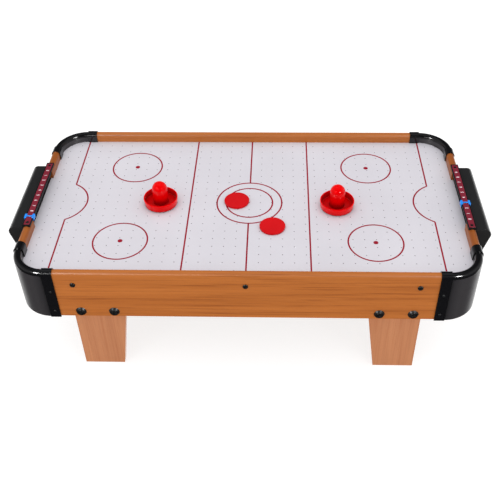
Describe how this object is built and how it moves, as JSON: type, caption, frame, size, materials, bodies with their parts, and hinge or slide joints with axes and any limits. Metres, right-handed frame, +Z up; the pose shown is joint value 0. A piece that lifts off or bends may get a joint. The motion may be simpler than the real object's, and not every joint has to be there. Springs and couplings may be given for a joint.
{
  "type": "air hockey table",
  "caption": "Tabletop air hockey table with wood-grain aprons and legs, black corner mouldings, catch boxes, score sliders, pushers, pucks and a fan under the field.",
  "frame": {"origin": "on the floor under the centre of the table", "axes": "+X along the table towards the right goal, +Y to the far side, +Z up"},
  "size_m": [0.921, 0.469, 0.2911],
  "materials": {
    "apron_wood": "satin printed wood grain",
    "leg_wood": "satin printed wood grain",
    "inner_wood": "raw",
    "hardboard": "smooth hardboard",
    "playfield_board": "white laminate, semi-gloss",
    "corner_plastic": "gloss",
    "box_plastic": "fine matte texture",
    "maroon_plastic": "satin",
    "blue_plastic": "gloss, slightly clear",
    "black_screw": "black oxide",
    "zinc_screw": "zinc plated",
    "red_plastic": "gloss",
    "felt": "pressed felt",
    "fan_plastic": "matte",
    "impeller_plastic": "satin",
    "motor_steel": "brushed",
    "lead_pvc": "matte"
  },
  "bodies": {
    "table": {"apron_screws": "black_screw", "back_apron": "apron_wood", "back_batten": "inner_wood", "back_left_corner": "corner_plastic", "back_left_leg": "leg_wood", "back_right_corner": "corner_plastic", "back_right_leg": "leg_wood", "bottom_panel": "hardboard", "bottom_panel_screws": "zinc_screw", "corner_screws": "black_screw", "dc_inlet": "fan_plastic", "fan_grille": "fan_plastic", "fan_housing": "fan_plastic", "fan_motor": "motor_steel", "fan_screws": "zinc_screw", "front_apron": "apron_wood", "front_batten": "inner_wood", "front_left_corner": "corner_plastic", "front_left_leg": "leg_wood", "front_right_corner": "corner_plastic", "front_right_leg": "leg_wood", "goal_box_screws": "zinc_screw", "inlet_lead": "lead_pvc", "inlet_nut": "zinc_screw", "left_end_batten": "inner_wood", "left_end_board": "apron_wood", "left_goal_box": "box_plastic", "left_score_bar": "box_plastic", "left_score_strip": "maroon_plastic", "leg_bolts": "black_screw", "leg_nuts": "zinc_screw", "leg_washers": "black_screw", "motor_lead": "lead_pvc", "playfield": "playfield_board", "right_end_batten": "inner_wood", "right_end_board": "apron_wood", "right_goal_box": "box_plastic", "right_score_bar": "box_plastic", "right_score_strip": "maroon_plastic", "score_bar_screws": "black_screw", "switch_body": "fan_plastic"},
    "left_pusher": {"left_pusher": "red_plastic", "left_pusher_felt": "felt"},
    "right_pusher": {"right_pusher": "red_plastic", "right_pusher_felt": "felt"},
    "puck_1": {"puck_1": "red_plastic"},
    "puck_2": {"puck_2": "red_plastic"},
    "left_score_slider": {"left_score_slider": "blue_plastic"},
    "right_score_slider": {"right_score_slider": "blue_plastic"},
    "impeller": {"fan_impeller": "impeller_plastic", "motor_shaft": "motor_steel"},
    "rocker": {"switch_rocker": "fan_plastic"}
  },
  "joints": [
    {"name": "left_pusher_glide", "type": "slide", "parent": "table", "child": "left_pusher", "axis": [0, 1, 0], "range_m": [-0.1788, 0.1842]},
    {"name": "right_pusher_glide", "type": "slide", "parent": "table", "child": "right_pusher", "axis": [0, 1, 0], "range_m": [-0.1713, 0.1917]},
    {"name": "puck_1_glide", "type": "slide", "parent": "table", "child": "puck_1", "axis": [0, 1, 0], "range_m": [-0.1937, 0.1873]},
    {"name": "puck_2_glide", "type": "slide", "parent": "table", "child": "puck_2", "axis": [1, 0, 0], "range_m": [-0.4365, 0.3425]},
    {"name": "left_score_slide", "type": "slide", "parent": "table", "child": "left_score_slider", "axis": [0, 1, 0], "range_m": [0, 0.1503]},
    {"name": "right_score_slide", "type": "slide", "parent": "table", "child": "right_score_slider", "axis": [0, 1, 0], "range_m": [-0.0501, 0.1002]},
    {"name": "fan_spin", "type": "hinge", "parent": "table", "child": "impeller", "pos_m": [0, 0, 0.19], "axis": [0, 0, 1], "continuous": true},
    {"name": "power_rocker", "type": "hinge", "parent": "table", "child": "rocker", "pos_m": [0.08, 0.2326, 0.18], "axis": [0, 0, 1], "range_deg": [0, 18]}
  ]
}
